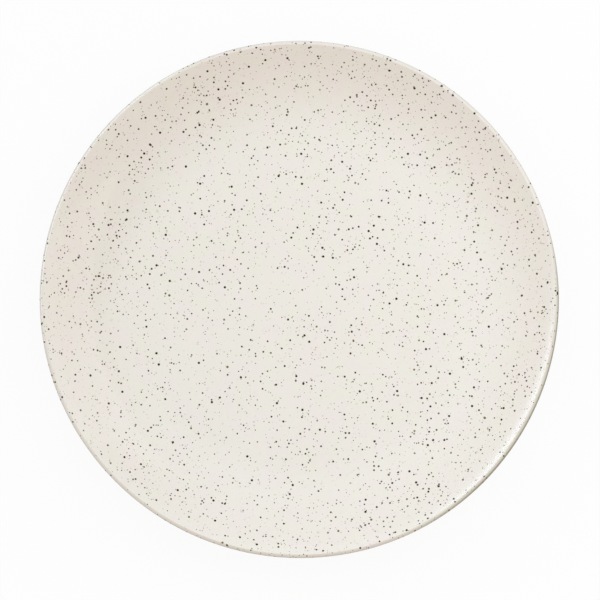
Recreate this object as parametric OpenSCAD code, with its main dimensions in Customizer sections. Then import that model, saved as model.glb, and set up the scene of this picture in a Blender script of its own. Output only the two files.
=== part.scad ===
// Coupe dinner plate: one pressed stoneware body on a foot ring, under thin coats of glaze.
// Z is the plate's axis, and the foot ring stands on the plane z = 0.
// Each piece is a section of flats and tangent arcs, in radius and height, turned about the axis.

/* [Plate] */
// Diameter over the glazed lip
plate_d = 270; // [230:0.2:320]
// Height of the top of the lip above the table
plate_h = 24.8; // [19:0.2:34]
// Diameter of the flat floor, where the wall starts to rise
well_d = 170.4; // [130:0.2:200]
// Thickness of the floor, glaze included
floor_t = 5.6; // [4:0.1:8]
// Thickness of the wall where it ends in the lip, glaze included
lip_t = 3.6; // [2.6:0.1:5]

/* [Foot ring] */
// Distance from the edge of the flat floor in to the outer side of the ring
foot_inset = 3.2; // [2:0.1:20]
// Width of the ring, glaze included
foot_w = 5.2; // [4:0.1:10]
// Height of the glazed back above the table
foot_h = 3.2; // [2.8:0.1:6]
// Radius of the fillets where the ring runs into the back
foot_fillet_r = 1.5; // [0.6:0.1:1.9]
// Radius of the two clay edges that stand on the table
foot_edge_r = 0.9; // [0.4:0.1:1.1]

/* [Glaze] */
// Thickness of the fired glaze
glaze_t = 0.4; // [0.2:0.05:0.8]
// Height of the band of clay that is wiped bare above the table
bare_h = 1.2; // [1.1:0.1:1.6]

/* [Hidden] */

// Facets of a full circle
$fn = 180;

// Colours of the fired clay and of the glaze
clay_colour = "#c9b594";
glaze_colour = "#ece9e1";

// Levels of the glazed back, of the middle of the floor and of the glazed face
back_z = foot_h;
mid_z = back_z + floor_t / 2;
face_z = back_z + floor_t;

// Edge of the flat floor, and the round of the lip
well_r = well_d / 2;
lip_r = lip_t / 2;
lip_c = [plate_d / 2 - lip_r, plate_h - lip_r];

// How far the arcs of the wall sink into the flats and the round that they run into, so that outlines cross
lap = 0.002;

// Radius of an arc that leaves a level at the edge of the flat and touches the round of the lip.
// The side is 1 where the round lies outside the arc, as on the face, and -1 where it lies inside it.
function wall_r(level, side) =
    let (run = lip_c.x - well_r, rise = lip_c.y - level, round_r = lip_r - lap)
    (run * run + rise * rise - round_r * round_r) / (2 * (rise + side * round_r));

// Arcs of the face and of the back, which draw together from the floor to the lip
face_r = wall_r(face_z - lap, 1);
back_r = wall_r(back_z - lap, -1);
face_c = [well_r, face_z - lap + face_r];
back_c = [well_r, back_z - lap + back_r];

// The wall ends at two lines from the arcs' centres through the middle of the lip, the second of which
// runs on down to the level of the table, and its lower half reaches in under the edge of the flat
lip_line_r = lip_c.x + lip_c.y * (lip_c.x - well_r) / (back_c.y - lip_c.y);
key_w = floor_t / 2;
key_r = well_r - key_w;
wall_zone = [face_c, lip_c, [lip_line_r, 0], [key_r, 0], [key_r, mid_z], [well_r, mid_z]];

// Glazed sides and middle of the foot ring, and the centres of its fillets and of its edges
ring_out_r = well_r - foot_inset;
ring_in_r = ring_out_r - foot_w;
ring_mid_r = ring_out_r - foot_w / 2;
fillet_z = back_z - foot_fillet_r;
fillet_out_c = [ring_out_r + foot_fillet_r, fillet_z];
fillet_in_c = [ring_in_r - foot_fillet_r, fillet_z];
edge_out_c = [ring_out_r - glaze_t - foot_edge_r, foot_edge_r];
edge_in_c = [ring_in_r + glaze_t + foot_edge_r, foot_edge_r];

module block(low, high) {
    polygon([low, [high.x, low.y], high, [low.x, high.y]]);
}

module disc(centre, radius) {
    translate(centre)
        circle(radius);
}

// Sections at a depth under the glazed surface

// The flat floor, whose upper half reaches out over the foot of the wall
module floor_section(depth) {
    low = back_z + depth;
    high = face_z - depth;
    polygon([[0, low], [well_r, low], [well_r + key_w, high], [0, high]]);
}

module wall_section(depth) {
    intersection() {
        difference() {
            disc(back_c, back_r - depth);
            disc(face_c, face_r + depth);
        }
        polygon(wall_zone);
    }
}

module lip_section(depth) {
    disc(lip_c, lip_r - depth);
}

// The foot ring above its bare band, with the fillets that carry it into the floor
module ring_section(depth) {
    block([ring_in_r + depth, bare_h], [ring_out_r - depth, mid_z]);
    difference() {
        block([fillet_in_c.x, fillet_z], [fillet_out_c.x, mid_z]);
        disc(fillet_out_c, foot_fillet_r + depth);
        disc(fillet_in_c, foot_fillet_r + depth);
    }
}

module plate_section(depth) {
    floor_section(depth);
    wall_section(depth);
    lip_section(depth);
    ring_section(depth);
}

// Whole sections of the clay and of the glaze that covers it

// The bare foot, which stands on a flat between two round edges
module foot_section() {
    block([ring_in_r + glaze_t, foot_edge_r], [ring_out_r - glaze_t, mid_z]);
    block([edge_in_c.x, 0], [edge_out_c.x, mid_z]);
    disc(edge_out_c, foot_edge_r);
    disc(edge_in_c, foot_edge_r);
}

module clay_section() {
    plate_section(glaze_t);
    foot_section();
}

module glaze_section() {
    difference() {
        plate_section(0);
        clay_section();
    }
}

// All that lies over the middle of the floor and of the wall, and over the widest line of the lip
module face_side() {
    block([0, mid_z], [well_r, plate_h]);
    block([0, lip_c.y], [plate_d / 2, plate_h]);
    disc(face_c, face_r + lip_r);
}

// All that lies inside the middle of the foot ring, up to the middle of the floor
module recess_side() {
    block([0, 0], [ring_mid_r, mid_z]);
}

// Sub-parts

module stoneware_body() {
    color(clay_colour)
        rotate_extrude()
            clay_section();
}

// Coat of the floor, the wall and the upper half of the lip
module face_glaze() {
    color(glaze_colour)
        rotate_extrude()
            intersection() {
                glaze_section();
                face_side();
            }
}

// Coat from the widest line of the lip down the back, to the bare band of the foot ring
module back_glaze() {
    color(glaze_colour)
        rotate_extrude()
            difference() {
                glaze_section();
                face_side();
                recess_side();
            }
}

// Coat of the recess inside the foot ring
module recess_glaze() {
    color(glaze_colour)
        rotate_extrude()
            intersection() {
                glaze_section();
                recess_side();
            }
}

stoneware_body();
face_glaze();
back_glaze();
recess_glaze();
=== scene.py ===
"""Speckled coupe plate: the finished look of a glazed stoneware plate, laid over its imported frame.

Each piece is drawn as outlines of flats and tangent arcs, in radius and height, which are turned about
the plate's axis and then left a little uneven, as the hand and the kiln leave them. Lengths are in metres.
"""

import math

import bmesh
import bpy
from bpy.props import FloatProperty, FloatVectorProperty, IntProperty, PointerProperty
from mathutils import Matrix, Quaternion, Vector, noise


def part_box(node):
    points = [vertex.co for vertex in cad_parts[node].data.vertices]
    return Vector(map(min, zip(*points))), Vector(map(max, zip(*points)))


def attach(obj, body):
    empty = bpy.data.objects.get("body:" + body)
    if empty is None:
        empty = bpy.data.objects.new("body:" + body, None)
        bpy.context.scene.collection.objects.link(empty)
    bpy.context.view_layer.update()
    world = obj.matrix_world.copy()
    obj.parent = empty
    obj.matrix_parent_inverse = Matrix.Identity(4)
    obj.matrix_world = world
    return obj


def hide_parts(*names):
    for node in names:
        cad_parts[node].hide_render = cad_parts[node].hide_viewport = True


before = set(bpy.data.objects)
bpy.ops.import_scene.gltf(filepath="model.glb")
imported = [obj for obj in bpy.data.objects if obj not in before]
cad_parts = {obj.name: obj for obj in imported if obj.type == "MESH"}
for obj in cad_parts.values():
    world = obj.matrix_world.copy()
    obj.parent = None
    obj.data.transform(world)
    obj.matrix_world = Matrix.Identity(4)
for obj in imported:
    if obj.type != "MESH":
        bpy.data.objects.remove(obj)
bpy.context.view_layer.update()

bl_info = {
    "name": "Speckled Coupe Plate",
    "version": (1, 0, 0),
    "blender": (4, 5, 0),
    "location": "View3D > Sidebar > Plate",
    "description": "Builds a speckled stoneware plate over its frame, and a studio to see it in",
    "category": "Object",
}

MM = 0.001

# Levels and radii that the frame gives
FACE_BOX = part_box("face_glaze")
BACK_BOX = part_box("back_glaze")
RECESS_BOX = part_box("recess_glaze")
CLAY_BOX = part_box("stoneware_body")
PLATE_R = FACE_BOX[1].x
PLATE_H = FACE_BOX[1].z
GLAZE_T = PLATE_H - CLAY_BOX[1].z
FACE_Z = FACE_BOX[0].z + GLAZE_T
BACK_Z = RECESS_BOX[1].z - GLAZE_T
BARE_Z = BACK_BOX[0].z
RING_IN_R = RECESS_BOX[1].x - GLAZE_T
LIP_C = Vector((PLATE_R - PLATE_H + BACK_BOX[1].z, BACK_BOX[1].z))
LIP_R = PLATE_H - LIP_C.y

# Longest part of a line, and longest and widest part of an arc, in an outline
LINE_STEP = 6 * MM
ARC_STEP = 2 * MM
ARC_TURN = math.radians(6)

# Degrees at the end of the wall that are a step of their own, so that its shading holds up to the crest
LAST_TURN = 0.5

# Vertices nearer than this are merged, and edges that turn more than this stay sharp
MERGE = GLAZE_T / 100
CREASE = math.radians(40)

# Length of the waves in the wiped edge of the glaze
WIPE_WAVE = 5 * MM

# Places on the map named OFBake, each a centre and a radius. What shows takes most of the map,
# and what lies hidden takes the hole in the middle of a ring or else a corner.
SHOWN_ON_MAP = ((0.5, 0.5), 0.49)
HOLE_ON_MAP = ((0.5, 0.5), 0.25)
CORNER_ON_MAP = ((0.915, 0.915), 0.08)

# Width of the picture in pixels, in which the plate's place in it is given
PICTURE = 600

# Sizes of the patterns in the glaze: its clouds, pinker patches, wisps and dimples
CLOUD = 45 * MM
PATCH = 11 * MM
WISP = 5 * MM
DIMPLE = 5 * MM

# How far the grains' outlines are bent, and the size of the bends
BEND = 0.18 * MM
BEND_WAVE = 0.8 * MM

# Radii between which the wall takes a warmer tint, partly thin glaze over the clay and partly painted shade
# of the dish, and between which that fades towards the lip
WARM_FROM = 94 * MM
WARM_TO = 124 * MM
FADE_FROM = 126 * MM
FADE_TO = 132 * MM

# Distances in from the widest line of the lip between which its faint band and its dark line come in, partly
# a glaze break and partly painted shade
BAND_FROM = 2.1 * MM
BAND_TO = 1.7 * MM
LINE_FROM = 1.2 * MM
LINE_TO = 0.4 * MM

# How far a grain's stain reaches, as a share of its radius, and how strong it is at most
STAIN_REACH = 1.25
STAIN_MOST = 0.4

# How far the glaze's roughness wanders, how much a grain adds to it, and how proud a grain stands as a
# share of the dimples' depth
ROUGH_WANDER = 0.02
GRAIN_ROUGH = 0.12
GRAIN_PROUD = 0.25

# Sizes of the sand and of the patches in the bare clay, and the height from which it is toasted
SAND = 0.5 * MM
CLAY_PATCH = 9 * MM
TOAST_FROM = 0.3 * BARE_Z

# Brightness of the floor's paper as the plate is lit by it, and what it gains for the camera
PAPER = 0.5
PAPER_GAIN = 0.35
FLOOR_SIDES = 96


def linear(code):
    """Linear red, green and blue of an sRGB hex colour."""
    parts = [int(code[i:i + 2], 16) / 255 for i in (1, 3, 5)]
    return tuple(c / 12.92 if c <= 0.04045 else ((c + 0.055) / 1.055) ** 2.4 for c in parts)


def aimed(turn, height):
    """Direction at an angle counter-clockwise from the right and at an angle above the table."""
    return Vector((math.cos(turn) * math.cos(height), math.sin(turn) * math.cos(height), math.sin(height)))


class PlateShape(bpy.types.PropertyGroup):
    """Sizes that the frame's boxes don't give, and how uneven the plate is."""

    well_d: FloatProperty(
        name="Well", description="Diameter of the flat floor, where the wall starts to rise",
        default=170.4 * MM, unit="LENGTH")
    foot_w: FloatProperty(
        name="Foot ring", description="Width of the foot ring, glaze included",
        default=5.2 * MM, unit="LENGTH")
    fillet_r: FloatProperty(
        name="Fillet", description="Radius where the foot ring runs into the back",
        default=1.5 * MM, unit="LENGTH")
    edge_r: FloatProperty(
        name="Foot edge", description="Radius of the clay edges that stand on the table",
        default=0.9 * MM, unit="LENGTH")
    bevel_w: FloatProperty(
        name="Lip bevel", description="From the crest of the lip out to its widest line",
        default=1.8 * MM, unit="LENGTH")
    crest_r: FloatProperty(
        name="Crest", description="Radius of the lip where the wall turns over into the bevel",
        default=0.8 * MM, unit="LENGTH")
    rim_r: FloatProperty(
        name="Rim", description="Radius of the lip where the bevel turns down to the widest line",
        default=1.5 * MM, unit="LENGTH")
    roll_r: FloatProperty(
        name="Glaze edge", description="Radius at which the glaze rolls off above the bare foot",
        default=0.22 * MM, unit="LENGTH")
    sway: FloatProperty(
        name="Sway", description="How far the lip strays from a true and level circle",
        default=0.4 * MM, unit="LENGTH")
    wipe: FloatProperty(
        name="Wiped line", description="How far the wiped edge of the glaze strays up and down",
        default=0.15 * MM, unit="LENGTH")
    seed: IntProperty(
        name="Seed", description="Number that decides which way the lip strays, the same in every run",
        default=321, min=1)
    around: IntProperty(
        name="Steps around", description="Facets of a full turn", default=160, min=24, max=720)


class GlazeLook(bpy.types.PropertyGroup):
    """Colours and grain of the fired glaze and of the bare clay."""

    cream: FloatVectorProperty(
        name="Glaze", description="Body of the glaze",
        default=linear("#EBEADF"), subtype="COLOR")
    blush: FloatVectorProperty(
        name="Blush", description="Patches of the glaze that fire pinker",
        default=linear("#EDE8E2"), subtype="COLOR")
    # Warm colour of thin glaze, which also paints the shade on the wall of the dish
    warm_glaze_and_shade: FloatVectorProperty(
        name="Thin glaze", description="Where the glaze runs thin over the clay",
        default=linear("#E0C9BA"), subtype="COLOR")
    iron: FloatVectorProperty(
        name="Iron", description="Heart of a melted iron grain",
        default=linear("#251A03"), subtype="COLOR")
    umber: FloatVectorProperty(
        name="Umber", description="Paler grain, deeper in the glaze",
        default=linear("#72664B"), subtype="COLOR")
    stain: FloatVectorProperty(
        name="Stain", description="Where a grain bleeds into the glaze round it",
        default=linear("#8E784D"), subtype="COLOR")
    olive: FloatVectorProperty(
        name="Olive", description="The few grains that fire green",
        default=linear("#7D7A3C"), subtype="COLOR")
    # Colour of the lip's band and line: partly a glaze break round the lip, and partly painted shade on the
    # side of the lip turned away from the light
    edge: FloatVectorProperty(
        name="Lip line", description="Where the glaze breaks over the widest line of the lip",
        default=linear("#A19E85"), subtype="COLOR")
    # Direction of the painted shade on the lip, the side turned away from the light, counter-clockwise from
    # the right
    shaded_side: FloatProperty(
        name="Drained side",
        description="Where the glaze drained thinnest off the lip, counter-clockwise from the right",
        default=math.radians(-24), subtype="ANGLE", unit="ROTATION")
    clay: FloatVectorProperty(
        name="Clay", description="Bare fired stoneware",
        default=linear("#C9B594"), subtype="COLOR")
    toast: FloatVectorProperty(
        name="Toasted clay", description="Clay that fired darker beside the glaze",
        default=linear("#A9855A"), subtype="COLOR")
    rough: FloatProperty(
        name="Roughness", description="Mean roughness of the glaze",
        default=0.13, min=0, max=1, subtype="FACTOR")


class StudioLook(bpy.types.PropertyGroup):
    """Camera, light and floor."""

    elevation: FloatProperty(
        name="Elevation", description="Angle of the camera above the table",
        default=math.radians(85.5), subtype="ANGLE", unit="ROTATION")
    distance: FloatProperty(
        name="Distance", description="From the camera to the lip of the plate",
        default=1600 * MM, unit="LENGTH")
    radius: FloatProperty(
        name="Radius in frame", description="Radius of the plate as a share of the picture's width",
        default=259.6 / PICTURE, subtype="FACTOR")
    centre: FloatVectorProperty(
        name="Centre in frame",
        description="Middle of the lip from the picture's upper left, as a share of its width",
        default=(299.5 / PICTURE, 297.75 / PICTURE), size=2)
    walls: FloatVectorProperty(
        name="Walls", description="Light that the room gives from every side",
        default=linear("#D4C1B2"), subtype="COLOR")
    ceiling: FloatVectorProperty(
        name="Ceiling", description="Light that it gives besides from overhead",
        default=linear("#93B5C9"), subtype="COLOR")
    tilt: FloatProperty(
        name="Ceiling tilt", description="How far its brightest part lies from overhead",
        default=math.radians(32), subtype="ANGLE", unit="ROTATION")
    turn: FloatProperty(
        name="Ceiling turn", description="Direction of its brightest part, counter-clockwise from the right",
        default=math.radians(90), subtype="ANGLE", unit="ROTATION")
    strip: FloatVectorProperty(
        name="Strip", description="Colour of the strip light",
        default=linear("#DCEBFF"), subtype="COLOR")
    strip_glow: FloatProperty(
        name="Strip brightness", description="Brightness of the strip light's face, where 1 is white",
        default=7.6, min=0)
    strip_size: FloatVectorProperty(
        name="Strip size", description="Width and height of the strip light",
        default=(4050 * MM, 230 * MM), size=2, unit="LENGTH")
    strip_far: FloatProperty(
        name="Strip distance", description="From the plate to the strip light",
        default=3000 * MM, unit="LENGTH")
    strip_height: FloatProperty(
        name="Strip height", description="Angle of the strip light above the table",
        default=math.radians(21.8), subtype="ANGLE", unit="ROTATION")
    strip_turn: FloatProperty(
        name="Strip turn", description="Direction of the strip light, counter-clockwise from the right",
        default=math.radians(150), subtype="ANGLE", unit="ROTATION")
    strip_roll: FloatProperty(
        name="Strip roll", description="How far the strip light is rolled, left end up",
        default=math.radians(3.5), subtype="ANGLE", unit="ROTATION")
    fill: FloatVectorProperty(
        name="Softbox", description="Colour of the softbox",
        default=linear("#EDF3FF"), subtype="COLOR")
    fill_glow: FloatProperty(
        name="Softbox brightness", description="Brightness of the softbox's face, where 1 is white",
        default=1.16, min=0)
    fill_size: FloatVectorProperty(
        name="Softbox size", description="Width and height of the softbox",
        default=(500 * MM, 500 * MM), size=2, unit="LENGTH")
    fill_far: FloatProperty(
        name="Softbox distance", description="From the plate to the softbox",
        default=600 * MM, unit="LENGTH")
    fill_height: FloatProperty(
        name="Softbox height", description="Angle of the softbox above the table",
        default=math.radians(45), subtype="ANGLE", unit="ROTATION")
    fill_turn: FloatProperty(
        name="Softbox turn", description="Direction of the softbox, counter-clockwise from the right",
        default=math.radians(15), subtype="ANGLE", unit="ROTATION")
    floor_r: FloatProperty(
        name="Floor", description="Radius of the floor",
        default=8000 * MM, unit="LENGTH")
    floor_glow: FloatProperty(
        name="White floor",
        description="Share of the floor by the plate that is seen as plain white, without a shadow",
        default=0.92, subtype="FACTOR")
    shade_r: FloatProperty(
        name="Shaded floor", description="Radius out to which the floor keeps some of the shadow",
        default=540 * MM, unit="LENGTH")


# Geometry


def to(radius, height):
    """A line in an outline, to a point."""
    return Vector((radius, height)), None


def about(centre, degrees):
    """An arc in an outline, about a centre, counter-clockwise."""
    return Vector(centre), math.radians(degrees)


def sweep(mesh, start, path, around):
    """Draws an outline as a chain of edges, turns it about the axis and returns the faces that it leaves.

    Every vertex keeps in the layer named run how far along the outline it lies, counted from its start's
    radius.
    """
    run = mesh.verts.layers.float["run"]
    known = set(mesh.faces)
    first = pen = bmesh.ops.create_vert(mesh, co=(start[0], 0, start[1]))["vert"][0]
    for spot, turn in path:
        reach = Vector((spot.x, 0, spot.y)) - pen.co
        if turn is None:
            steps = math.ceil(reach.length / LINE_STEP)
            for step in range(steps):
                drawn = bmesh.ops.extrude_vert_indiv(mesh, verts=[pen])
                bmesh.ops.translate(mesh, verts=drawn["verts"], vec=reach / steps)
                pen = drawn["verts"][0]
        else:
            steps = math.ceil(max(abs(turn) / ARC_TURN, abs(turn) * reach.length / ARC_STEP))
            drawn = bmesh.ops.spin(
                mesh, geom=[pen], cent=pen.co + reach, axis=(0, -1, 0), angle=turn, steps=steps)
            pen = drawn["geom_last"][0]
    chain, here = [], first
    first[run] = start[0]
    while here:
        ahead = [edge for edge in here.link_edges if edge not in chain]
        chain += ahead
        if ahead:
            ahead[0].other_vert(here)[run] = here[run] + ahead[0].calc_length()
        here = ahead[0].other_vert(here) if ahead else None
    ends = {vert for edge in chain for vert in edge.verts}
    bmesh.ops.spin(
        mesh, geom=[*ends, *chain], cent=(0, 0, 0), axis=(0, 0, 1), angle=math.tau, steps=around,
        use_merge=True)
    return [face for face in mesh.faces if face not in known]


def lay_out(mesh, faces, centre, size):
    """Lays faces flat on the map, round a centre and within a size.

    Each ring lies as far out as it is along its outline.
    """
    run = mesh.verts.layers.float["run"]
    flat = mesh.loops.layers.uv["OFBake"]
    loops = [loop for face in faces for loop in face.loops]
    longest = max(loop.vert[run] for loop in loops)
    for loop in loops:
        loop[flat].uv = Vector(centre) + loop.vert.co.xy.normalized() * loop.vert[run] / longest * size


def sway(point, shape):
    """How far a point of the fired plate strays: nothing at the foot, most at the lip."""
    lift = max(0, point.z - BACK_Z) / (PLATE_H - BACK_Z)
    return noise.noise_vector(Vector((point.x, point.y, 0)) / PLATE_R) * shape.sway * lift


def piece(name, node, material, shown, hidden, wiped):
    """Makes one closed piece of the plate from an outline that shows and one that lies on another piece."""
    shape = bpy.context.scene.plate_shape
    mesh = bmesh.new()
    run = mesh.verts.layers.float.new("run")
    mesh.loops.layers.uv.new("OFBake")
    lay_out(mesh, sweep(mesh, *shown, shape.around), *SHOWN_ON_MAP)
    start, _ = shown
    spare = HOLE_ON_MAP if start[0] > 0 else CORNER_ON_MAP
    lay_out(mesh, sweep(mesh, *hidden, shape.around), *spare)
    bmesh.ops.remove_doubles(mesh, verts=mesh.verts, dist=MERGE)
    bmesh.ops.recalc_face_normals(mesh, faces=mesh.faces)
    noise.seed_set(shape.seed)
    for vert in mesh.verts:
        if wiped:
            near = 1 - (vert.co.z - BARE_Z) / (BACK_Z - shape.fillet_r - BARE_Z)
            vert.co.z += noise.noise(vert.co / WIPE_WAVE) * shape.wipe * max(0, near)
        vert.co += sway(vert.co, shape)
    for face in mesh.faces:
        face.smooth = True
    for edge in mesh.edges:
        edge.smooth = edge.calc_face_angle(0) < CREASE
    mesh.verts.layers.float.remove(run)
    data = bpy.data.meshes.new(name)
    mesh.to_mesh(data)
    mesh.free()
    data.materials.append(material)
    made = bpy.data.objects.new(name, data)
    bpy.context.scene.collection.objects.link(made)
    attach(made, "root")
    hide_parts(node)


def outlines(shape):
    """Outlines of the pieces by name, each as what shows and what lies hidden, with a start and a path."""
    well_r = shape.well_d / 2

    # Arcs of the face and of the back, which leave the flats and touch the crest and the round of the lip
    crest_r, rim_r = shape.crest_r, shape.rim_r
    crest_c = Vector((PLATE_R - shape.bevel_w, PLATE_H - crest_r))
    rim_c = Vector((PLATE_R - rim_r, LIP_C.y))
    face_to = crest_c - Vector((well_r, FACE_Z))
    back_to = LIP_C - Vector((well_r, BACK_Z))
    face_c = (well_r, FACE_Z + (face_to.length_squared - crest_r ** 2) / (2 * (face_to.y + crest_r)))
    back_c = (well_r, BACK_Z + (back_to.length_squared - LIP_R ** 2) / (2 * (back_to.y - LIP_R)))
    face_turn = math.degrees(math.atan2(face_to.x, face_c[1] - crest_c.y))
    back_turn = math.degrees(math.atan2(back_to.x, back_c[1] - LIP_C.y))

    # The bevel touches both rounds of the lip, and its direction is that of the line square to it
    fall = rim_c - crest_c
    square = math.atan2(fall.y, fall.x) + math.acos((crest_r - rim_r) / fall.length)
    bevel = Vector((math.cos(square), math.sin(square)))

    # Sides and fillets of the foot ring, and the level at which the glaze starts to roll off
    out_r = RING_IN_R + shape.foot_w
    fillet_z = BACK_Z - shape.fillet_r
    fillet_in = (RING_IN_R - shape.fillet_r, fillet_z)
    fillet_out = (out_r + shape.fillet_r, fillet_z)
    clay_in, clay_out = RING_IN_R + GLAZE_T, out_r - GLAZE_T
    edge_r, roll_r = shape.edge_r, shape.roll_r
    roll_z = BARE_Z + roll_r
    widest = to(PLATE_R, LIP_C.y)

    # Paths of the face, of the back and of the recess, at a depth under the glazed surface

    def face(depth):
        return [
            to(well_r, FACE_Z - depth),
            about(face_c, face_turn - LAST_TURN),
            about(face_c, LAST_TURN),
            about(crest_c, math.degrees(square) - 90 - face_turn),
            to(*rim_c + bevel * (rim_r - depth)),
            about(rim_c, -math.degrees(square)),
        ]

    def back(depth):
        return [
            about(fillet_out, -90),
            to(well_r, BACK_Z + depth),
            about(back_c, back_turn),
            about(LIP_C, 90 - back_turn),
        ]

    def recess(depth):
        return [to(fillet_in[0], BACK_Z + depth), about(fillet_in, -90)]

    foot = [
        to(clay_in, edge_r),
        about((clay_in + edge_r, edge_r), 90),
        to(clay_out - edge_r, 0),
        about((clay_out - edge_r, edge_r), 90),
        to(clay_out, fillet_z),
    ]
    roll_out = [to(out_r - roll_r, BARE_Z), about((out_r - roll_r, roll_z), 90), to(out_r, fillet_z)]
    roll_in = [to(RING_IN_R, roll_z), about((RING_IN_R + roll_r, roll_z), 90), to(clay_in, BARE_Z)]
    return {
        "clay_body": (((0, BACK_Z + GLAZE_T), recess(GLAZE_T) + foot + back(GLAZE_T)),
                      ((0, FACE_Z - GLAZE_T), face(GLAZE_T))),
        "face_coat": (((0, FACE_Z), face(0)),
                      ((0, FACE_Z - GLAZE_T), face(GLAZE_T) + [widest])),
        "back_coat": (((clay_out, BARE_Z), roll_out + back(0)),
                      ((clay_out, BARE_Z), [to(clay_out, fillet_z)] + back(GLAZE_T) + [widest])),
        "recess_coat": (((0, BACK_Z), recess(0) + roll_in),
                        ((0, BACK_Z + GLAZE_T), recess(GLAZE_T) + [to(clay_in, BARE_Z)])),
    }


# Materials


def add(tree, kind, inputs=None, **settings):
    """Adds a node with its settings, and with its inputs as values or as sockets to link from.

    An input goes by its name, or by its number where a node has several of one name.
    """
    made = tree.nodes.new(kind)
    for name, value in settings.items():
        setattr(made, name, value)
    for name, value in (inputs or {}).items():
        if isinstance(value, bpy.types.NodeSocket):
            tree.links.new(value, made.inputs[name])
        else:
            made.inputs[name].default_value = value
    return made


def blank(block):
    """Empty node tree of a new material or world."""
    block.use_nodes = True
    block.node_tree.nodes.clear()
    return block.node_tree


def specks(tree, place, under, swell, cell, mean, most, soft, pale, dark, stain, tones):
    """Strews grains over a colour and returns the new colour and how far the grains cover it.

    One grain lies somewhere in each cell of space, so the surface cuts it at any height. Small grains are
    common and large ones rare: the radius falls off by its mean, up to the most. The strength goes from
    pale to dark, and the stain is the colour that bleeds out round each grain. Lengths are in metres, and
    swell is a socket that scales the radius from place to place.
    """
    cells = add(tree, "ShaderNodeTexVoronoi", {"Vector": place, "Scale": 1 / cell})
    draw = add(tree, "ShaderNodeTexWhiteNoise", {"Vector": cells.outputs["Position"]})
    chance = add(tree, "ShaderNodeSeparateColor", {"Color": draw.outputs["Color"]})
    fall = add(tree, "ShaderNodeMath", {0: chance.outputs["Red"], 1: math.e}, operation="LOGARITHM")
    grown = add(tree, "ShaderNodeMath", {0: fall.outputs[0], 1: -mean / cell}, operation="MULTIPLY")
    swelled = add(tree, "ShaderNodeMath", {0: grown.outputs[0], 1: swell}, operation="MULTIPLY")
    outer = add(tree, "ShaderNodeMath", {0: swelled.outputs[0], 1: most / cell}, operation="MINIMUM")
    inner = add(tree, "ShaderNodeMath", {0: outer.outputs[0], 1: soft / cell}, operation="SUBTRACT")
    solid = add(tree, "ShaderNodeMapRange", {
        "Value": cells.outputs["Distance"], "From Min": outer.outputs[0], "From Max": inner.outputs[0],
    }, interpolation_type="SMOOTHSTEP")
    strength = add(tree, "ShaderNodeMapRange", {
        "Value": chance.outputs["Green"], "To Min": pale, "To Max": dark})
    cover = add(tree, "ShaderNodeMath", {0: solid.outputs[0], 1: strength.outputs[0]}, operation="MULTIPLY")
    tone = add(tree, "ShaderNodeValToRGB", {"Fac": chance.outputs["Blue"]})
    tone.color_ramp.interpolation = "CONSTANT"
    for index, (at, shade) in enumerate(tones):
        stop = tone.color_ramp.elements[0] if index == 0 else tone.color_ramp.elements.new(at)
        stop.position = at
        stop.color = (*shade, 1)
    tone.color_ramp.elements.remove(tone.color_ramp.elements[-1])
    wide = add(tree, "ShaderNodeMath", {0: outer.outputs[0], 1: STAIN_REACH}, operation="MULTIPLY")
    bleed = add(tree, "ShaderNodeMapRange", {
        "Value": cells.outputs["Distance"], "From Min": wide.outputs[0], "From Max": inner.outputs[0],
        "To Max": STAIN_MOST})
    faint = add(tree, "ShaderNodeMath", {0: bleed.outputs[0], 1: strength.outputs[0]}, operation="MULTIPLY")
    stained = add(tree, "ShaderNodeMix", {0: faint.outputs[0], 6: under, 7: (*stain, 1)}, data_type="RGBA")
    mixed = add(tree, "ShaderNodeMix", {
        0: cover.outputs[0], 6: stained.outputs[2], 7: tone.outputs["Color"]}, data_type="RGBA")
    return mixed.outputs[2], cover.outputs[0]


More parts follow.
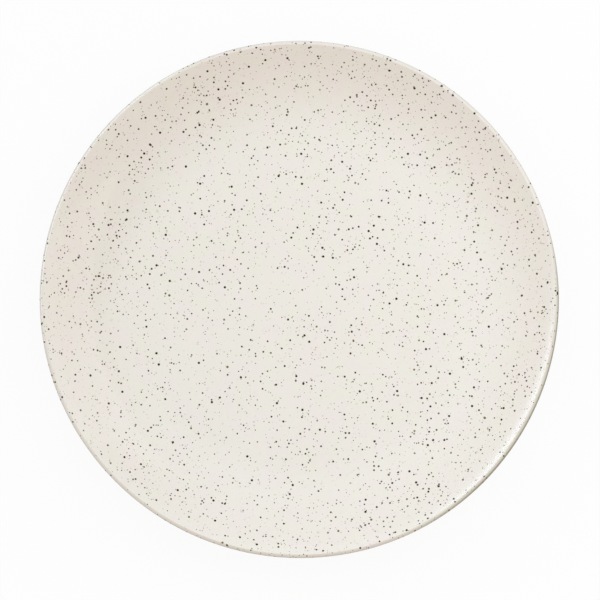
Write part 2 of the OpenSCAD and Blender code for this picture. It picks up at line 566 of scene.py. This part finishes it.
def dipped_glaze(look):
    """Cream glaze, dipped and fired over stoneware: softly glossy, with iron grains at every depth."""
    material = bpy.data.materials.new("dipped speckled stoneware glaze")
    tree = blank(material)
    place = add(tree, "ShaderNodeTexCoord").outputs["Object"]

    # Clouds in the melt: pinker patches about a centimetre across, and fainter warm ones of every size
    broad = add(tree, "ShaderNodeTexNoise", {"Vector": place, "Scale": 1 / CLOUD, "Detail": 2})
    middle = add(tree, "ShaderNodeTexNoise", {"Vector": place, "Scale": 1 / PATCH, "Detail": 1})
    fine = add(tree, "ShaderNodeTexNoise", {"Vector": place, "Scale": 1 / WISP, "Detail": 2})
    pink = add(tree, "ShaderNodeMapRange", {
        "Value": middle.outputs["Fac"], "From Min": 0.38, "From Max": 0.72})
    cream = add(tree, "ShaderNodeMix", {
        0: pink.outputs[0], 6: (*look.cream, 1), 7: (*look.blush, 1)}, data_type="RGBA")
    cloud = add(tree, "ShaderNodeMath", {
        0: broad.outputs["Fac"], 1: fine.outputs["Fac"]}, operation="MULTIPLY")
    cloudy = add(tree, "ShaderNodeMapRange", {
        "Value": cloud.outputs[0], "From Min": 0.1, "From Max": 0.4, "To Max": 0.08})
    body = add(tree, "ShaderNodeMix", {
        0: cloudy.outputs[0], 6: cream.outputs[2], 7: (*look.warm_glaze_and_shade, 1)}, data_type="RGBA")

    # The wall is tinted warmer, partly where the glaze runs thin over the clay and partly as painted shade
    # of the dish, and less so towards the lip
    parts = add(tree, "ShaderNodeSeparateXYZ", {"Vector": place})
    level = add(tree, "ShaderNodeCombineXYZ", {"X": parts.outputs["X"], "Y": parts.outputs["Y"]})
    radius = add(tree, "ShaderNodeVectorMath", {0: level.outputs[0]}, operation="LENGTH").outputs["Value"]
    wall = add(tree, "ShaderNodeMapRange", {
        "Value": radius, "From Min": WARM_FROM, "From Max": WARM_TO, "To Max": 0.13,
    }, interpolation_type="SMOOTHSTEP")
    fade = add(tree, "ShaderNodeMapRange", {
        "Value": radius, "From Min": FADE_FROM, "From Max": FADE_TO, "To Min": 1, "To Max": 0.5,
    }, interpolation_type="SMOOTHSTEP")
    wall_tint_and_shade = add(tree, "ShaderNodeMath", {0: wall.outputs[0], 1: fade.outputs[0]}, operation="MULTIPLY")
    thinned_and_shaded = add(tree, "ShaderNodeMix", {
        0: wall_tint_and_shade.outputs[0], 6: body.outputs[2], 7: (*look.warm_glaze_and_shade, 1)}, data_type="RGBA")

    # It breaks over the lip in a faint band and a darker line: a glaze break all round, with painted shade
    # added, most of all on the side turned away from the light
    band = add(tree, "ShaderNodeMapRange", {
        "Value": radius, "From Min": PLATE_R - BAND_FROM, "From Max": PLATE_R - BAND_TO, "To Max": 0.32,
    }, interpolation_type="SMOOTHSTEP")
    line = add(tree, "ShaderNodeMapRange", {
        "Value": radius, "From Min": PLATE_R - LINE_FROM, "From Max": PLATE_R - LINE_TO, "To Max": 0.78,
    }, interpolation_type="SMOOTHSTEP")
    thin = add(tree, "ShaderNodeMath", {0: band.outputs[0], 1: line.outputs[0]}, operation="ADD")
    around = add(tree, "ShaderNodeVectorMath", {0: level.outputs[0]}, operation="NORMALIZE")
    side = add(tree, "ShaderNodeVectorMath", {
        0: around.outputs[0], 1: aimed(look.shaded_side, 0)}, operation="DOT_PRODUCT")
    shaded_lobe = add(tree, "ShaderNodeMapRange", {
        "Value": side.outputs["Value"], "From Min": 0.68, "To Min": 0.18}, interpolation_type="SMOOTHSTEP")
    break_and_shade = add(tree, "ShaderNodeMath", {0: thin.outputs[0], 1: shaded_lobe.outputs[0]}, operation="MULTIPLY")
    surface = add(tree, "ShaderNodeMix", {
        0: break_and_shade.outputs[0], 6: thinned_and_shaded.outputs[2], 7: (*look.edge, 1)}, data_type="RGBA").outputs[2]

    # Grains, bent out of round by a fine noise, which grow towards the lip and from cloud to cloud
    bend = add(tree, "ShaderNodeTexNoise", {"Vector": place, "Scale": 1 / BEND_WAVE, "Detail": 1})
    bent = add(tree, "ShaderNodeVectorMath", {
        0: bend.outputs["Color"], 1: (BEND, BEND, BEND), 2: place}, operation="MULTIPLY_ADD").outputs[0]
    outward = add(tree, "ShaderNodeMapRange", {
        "Value": radius, "From Max": PLATE_R, "To Min": 0.88, "To Max": 1.1})
    drift = add(tree, "ShaderNodeMapRange", {
        "Value": broad.outputs["Fac"], "From Min": 0.3, "From Max": 0.7, "To Min": 0.88, "To Max": 1.12})
    swell = add(tree, "ShaderNodeMath", {
        0: drift.outputs[0], 1: outward.outputs[0]}, operation="MULTIPLY").outputs[0]

    # Faint ones deep in the glaze, small dark ones all over and a few large dark ones
    iron, umber, stain, olive = look.iron, look.umber, look.stain, look.olive
    surface, _ = specks(
        tree, bent, surface, swell, cell=1.75 * MM, mean=0.17 * MM, most=0.5 * MM, soft=0.2 * MM,
        pale=0.08, dark=0.3, stain=stain, tones=((0, umber), (0.93, olive)))
    surface, grains = specks(
        tree, bent, surface, swell, cell=1.23 * MM, mean=0.126 * MM, most=0.55 * MM, soft=0.03 * MM,
        pale=0.9, dark=1, stain=stain, tones=((0, iron), (0.75, umber), (0.96, olive)))
    surface, _ = specks(
        tree, bent, surface, swell, cell=5.4 * MM, mean=1.2 * MM, most=0.63 * MM, soft=0.03 * MM,
        pale=1, dark=1, stain=stain, tones=((0, iron), (0.93, umber)))

    # Shine that wanders a little, and is duller on the small grains
    wander = add(tree, "ShaderNodeMapRange", {
        "Value": fine.outputs["Fac"], "From Min": 0.3, "From Max": 0.7,
        "To Min": look.rough - ROUGH_WANDER, "To Max": look.rough + ROUGH_WANDER})
    dull = add(tree, "ShaderNodeMath", {
        0: grains, 1: GRAIN_ROUGH, 2: wander.outputs[0]}, operation="MULTIPLY_ADD")

    # Soft dimples of the melt, and small grains that stand a little proud
    peel = add(tree, "ShaderNodeTexNoise", {"Vector": place, "Scale": 1 / DIMPLE, "Detail": 1})
    relief = add(tree, "ShaderNodeMath", {
        0: grains, 1: GRAIN_PROUD, 2: peel.outputs["Fac"]}, operation="MULTIPLY_ADD")
    bump = add(tree, "ShaderNodeBump", {
        "Height": relief.outputs[0], "Strength": 0.2, "Distance": 0.05 * MM})
    shader = add(tree, "ShaderNodeBsdfPrincipled", {
        "Base Color": surface, "Roughness": dull.outputs[0], "IOR": 1.5, "Specular IOR Level": 0.33,
        "Normal": bump.outputs[0]})
    add(tree, "ShaderNodeOutputMaterial", {"Surface": shader.outputs[0]})
    return material


def bare_clay(look):
    """Bare stoneware, wiped with a sponge before firing: buff, dry and sandy, toasted along the glaze."""
    material = bpy.data.materials.new("wiped bare buff stoneware")
    tree = blank(material)
    place = add(tree, "ShaderNodeTexCoord").outputs["Object"]
    sand = add(tree, "ShaderNodeTexNoise", {"Vector": place, "Scale": 1 / SAND, "Detail": 4})
    patch = add(tree, "ShaderNodeTexNoise", {"Vector": place, "Scale": 1 / CLAY_PATCH, "Detail": 2})
    parts = add(tree, "ShaderNodeSeparateXYZ", {"Vector": place})
    burnt = add(tree, "ShaderNodeMapRange", {
        "Value": parts.outputs["Z"], "From Min": TOAST_FROM, "From Max": BARE_Z, "To Max": 0.8})
    mottle = add(tree, "ShaderNodeMath", {
        0: sand.outputs["Fac"], 1: patch.outputs["Fac"]}, operation="MULTIPLY")
    share = add(tree, "ShaderNodeMath", {
        0: burnt.outputs[0], 1: mottle.outputs[0]}, operation="ADD", use_clamp=True)
    body = add(tree, "ShaderNodeMix", {
        0: share.outputs[0], 6: (*look.clay, 1), 7: (*look.toast, 1)}, data_type="RGBA")
    swell = add(tree, "ShaderNodeMapRange", {
        "Value": patch.outputs["Fac"], "To Min": 0.7, "To Max": 1.3}).outputs[0]
    surface, _ = specks(
        tree, place, body.outputs[2], swell, cell=1.1 * MM, mean=0.08 * MM, most=0.4 * MM, soft=0.06 * MM,
        pale=0.5, dark=0.9, stain=look.toast, tones=((0, look.iron), (0.6, look.umber)))
    rough = add(tree, "ShaderNodeMapRange", {"Value": sand.outputs["Fac"], "To Min": 0.75, "To Max": 0.95})
    bump = add(tree, "ShaderNodeBump", {
        "Height": sand.outputs["Fac"], "Strength": 0.5, "Distance": 0.1 * MM})
    shader = add(tree, "ShaderNodeBsdfPrincipled", {
        "Base Color": surface, "Roughness": rough.outputs[0], "Normal": bump.outputs[0]})
    add(tree, "ShaderNodeOutputMaterial", {"Surface": shader.outputs[0]})
    return material


# Stage


def viewed(tree):
    """Socket that is 1 for what is seen, also in a mirror or through glass, and 0 for what gives light."""
    path = add(tree, "ShaderNodeLightPath")
    shiny = add(tree, "ShaderNodeMath", {
        0: path.outputs["Is Glossy Ray"], 1: path.outputs["Is Transmission Ray"]}, operation="MAXIMUM")
    return add(tree, "ShaderNodeMath", {
        0: path.outputs["Is Camera Ray"], 1: shiny.outputs[0]}, operation="MAXIMUM").outputs[0]


def white_paper(look):
    """White studio paper, which keeps a soft shadow by the plate and is plain white farther out."""
    material = bpy.data.materials.new("white studio paper")
    tree = blank(material)
    seen = viewed(tree)
    spot = add(tree, "ShaderNodeTexCoord").outputs["Object"]
    reach = add(tree, "ShaderNodeVectorMath", {0: spot}, operation="LENGTH")
    plain = add(tree, "ShaderNodeMapRange", {
        "Value": reach.outputs["Value"], "From Min": PLATE_R, "From Max": look.shade_r,
        "To Min": look.floor_glow}, interpolation_type="SMOOTHSTEP")
    share = add(tree, "ShaderNodeMath", {0: seen, 1: plain.outputs[0]}, operation="MULTIPLY")
    tone = add(tree, "ShaderNodeMath", {0: seen, 1: PAPER_GAIN, 2: PAPER}, operation="MULTIPLY_ADD")
    paper = add(tree, "ShaderNodeBsdfDiffuse", {"Color": tone.outputs[0]})
    glow = add(tree, "ShaderNodeEmission", {"Color": (1, 1, 1, 1), "Strength": 1})
    mixed = add(tree, "ShaderNodeMixShader", {0: share.outputs[0], 1: paper.outputs[0], 2: glow.outputs[0]})
    add(tree, "ShaderNodeOutputMaterial", {"Surface": mixed.outputs[0]})
    return material


def soft_room(look):
    """Soft room, brightest high on one side, which the camera and mirrors see as white."""
    world = bpy.data.worlds.new("room")
    tree = blank(world)
    toward = add(tree, "ShaderNodeTexCoord").outputs["Generated"]
    height = add(tree, "ShaderNodeVectorMath", {
        0: toward, 1: aimed(look.turn, math.pi / 2 - look.tilt)}, operation="DOT_PRODUCT")
    above = add(tree, "ShaderNodeMath", {0: height.outputs["Value"], 1: 0}, operation="MAXIMUM")
    soft = add(tree, "ShaderNodeVectorMath", {
        0: above.outputs[0], 1: look.ceiling, 2: look.walls}, operation="MULTIPLY_ADD")
    air = add(tree, "ShaderNodeMix", {
        0: viewed(tree), 6: soft.outputs[0], 7: (1, 1, 1, 1)}, data_type="RGBA")
    back = add(tree, "ShaderNodeBackground", {"Color": air.outputs[2], "Strength": 1})
    add(tree, "ShaderNodeOutputWorld", {"Surface": back.outputs[0]})
    return world


def lamp(name, colour, glow, size, place, roll):
    """Hangs an evenly lit panel of a size at a place, facing the plate."""
    light = bpy.data.lights.new(name, "AREA")
    light.shape = "RECTANGLE"
    light.size, light.size_y = size
    light.color = colour
    light.energy = glow * math.pi * size[0] * size[1]
    hung = bpy.data.objects.new(name, light)
    hung.location = place
    hung.rotation_euler = (place.to_track_quat("Z", "Y") @ Quaternion((0, 0, 1), roll)).to_euler()
    bpy.context.scene.collection.objects.link(hung)


# Operators


class PLATE_OT_clay_body(bpy.types.Operator):
    """Makes the pressed clay body, of which the foot ring's bare band shows"""

    bl_idname = "plate.clay_body"
    bl_label = "Clay Body"

    def execute(self, context):
        shown, hidden = outlines(context.scene.plate_shape)["clay_body"]
        clay = bare_clay(context.scene.plate_glaze)
        piece("clay_body", "stoneware_body", clay, shown, hidden, wiped=False)
        return {"FINISHED"}


class PLATE_OT_glaze_coats(bpy.types.Operator):
    """Makes the coats of glaze on the face, on the back and in the recess of the foot"""

    bl_idname = "plate.glaze_coats"
    bl_label = "Glaze Coats"

    def execute(self, context):
        drawn = outlines(context.scene.plate_shape)
        glaze = dipped_glaze(context.scene.plate_glaze)
        for part in ("face", "back", "recess"):
            shown, hidden = drawn[f"{part}_coat"]
            node = f"{part}_glaze"
            piece(f"{part}_coat", node, glaze, shown, hidden, wiped=part != "face")
        return {"FINISHED"}


class PLATE_OT_studio(bpy.types.Operator):
    """Makes the floor, the room, the lamps and the camera"""

    bl_idname = "plate.studio"
    bl_label = "Studio"

    def execute(self, context):
        scene, look = context.scene, context.scene.plate_studio
        scene.view_settings.view_transform = "Standard"
        scene.world = soft_room(look)

        mesh = bmesh.new()
        bmesh.ops.create_circle(mesh, cap_ends=True, segments=FLOOR_SIDES, radius=look.floor_r)
        data = bpy.data.meshes.new("floor")
        mesh.to_mesh(data)
        mesh.free()
        data.materials.append(white_paper(look))
        floor = bpy.data.objects.new("floor", data)
        scene.collection.objects.link(floor)

        # Low strip light, which draws the bright line along the lip, and a dim softbox for the other side
        lamp("strip", look.strip, look.strip_glow, look.strip_size,
             aimed(look.strip_turn, look.strip_height) * look.strip_far, look.strip_roll)
        lamp("softbox", look.fill, look.fill_glow, look.fill_size,
             aimed(look.fill_turn, look.fill_height) * look.fill_far, 0)

        # Camera, aimed so that the lip has its place and size in the picture
        width = PLATE_R / look.radius
        camera = bpy.data.cameras.new("camera")
        camera.lens = camera.sensor_width * look.distance / width
        viewer = bpy.data.objects.new("camera", camera)
        aim = Vector(((0.5 - look.centre[0]) * width, (look.centre[1] - 0.5) * width, LIP_C.y))
        away = aimed(-math.pi / 2, look.elevation)
        viewer.location = aim + away * look.distance
        viewer.rotation_euler = away.to_track_quat("Z", "Y").to_euler()
        scene.collection.objects.link(viewer)
        scene.camera = viewer
        return {"FINISHED"}


class PLATE_PT_sidebar(bpy.types.Panel):
    """Settings and steps of the plate"""

    bl_idname = "PLATE_PT_sidebar"
    bl_label = "Speckled Coupe Plate"
    bl_space_type = "VIEW_3D"
    bl_region_type = "UI"
    bl_category = "Plate"

    def draw(self, context):
        for group in (context.scene.plate_shape, context.scene.plate_glaze, context.scene.plate_studio):
            box = self.layout.box()
            for name in group.__annotations__:
                box.prop(group, name)
        for step in STEPS:
            self.layout.operator(step.bl_idname)


GROUPS = {"plate_shape": PlateShape, "plate_glaze": GlazeLook, "plate_studio": StudioLook}
STEPS = (PLATE_OT_clay_body, PLATE_OT_glaze_coats, PLATE_OT_studio)


def register():
    for made in (*GROUPS.values(), *STEPS, PLATE_PT_sidebar):
        bpy.utils.register_class(made)
    for name, group in GROUPS.items():
        setattr(bpy.types.Scene, name, PointerProperty(type=group))


def unregister():
    for name in GROUPS:
        delattr(bpy.types.Scene, name)
    for made in (PLATE_PT_sidebar, *reversed(STEPS), *GROUPS.values()):
        bpy.utils.unregister_class(made)


def main():
    register()
    bpy.ops.plate.clay_body()
    bpy.ops.plate.glaze_coats()
    bpy.ops.plate.studio()


if __name__ == "__main__":
    main()
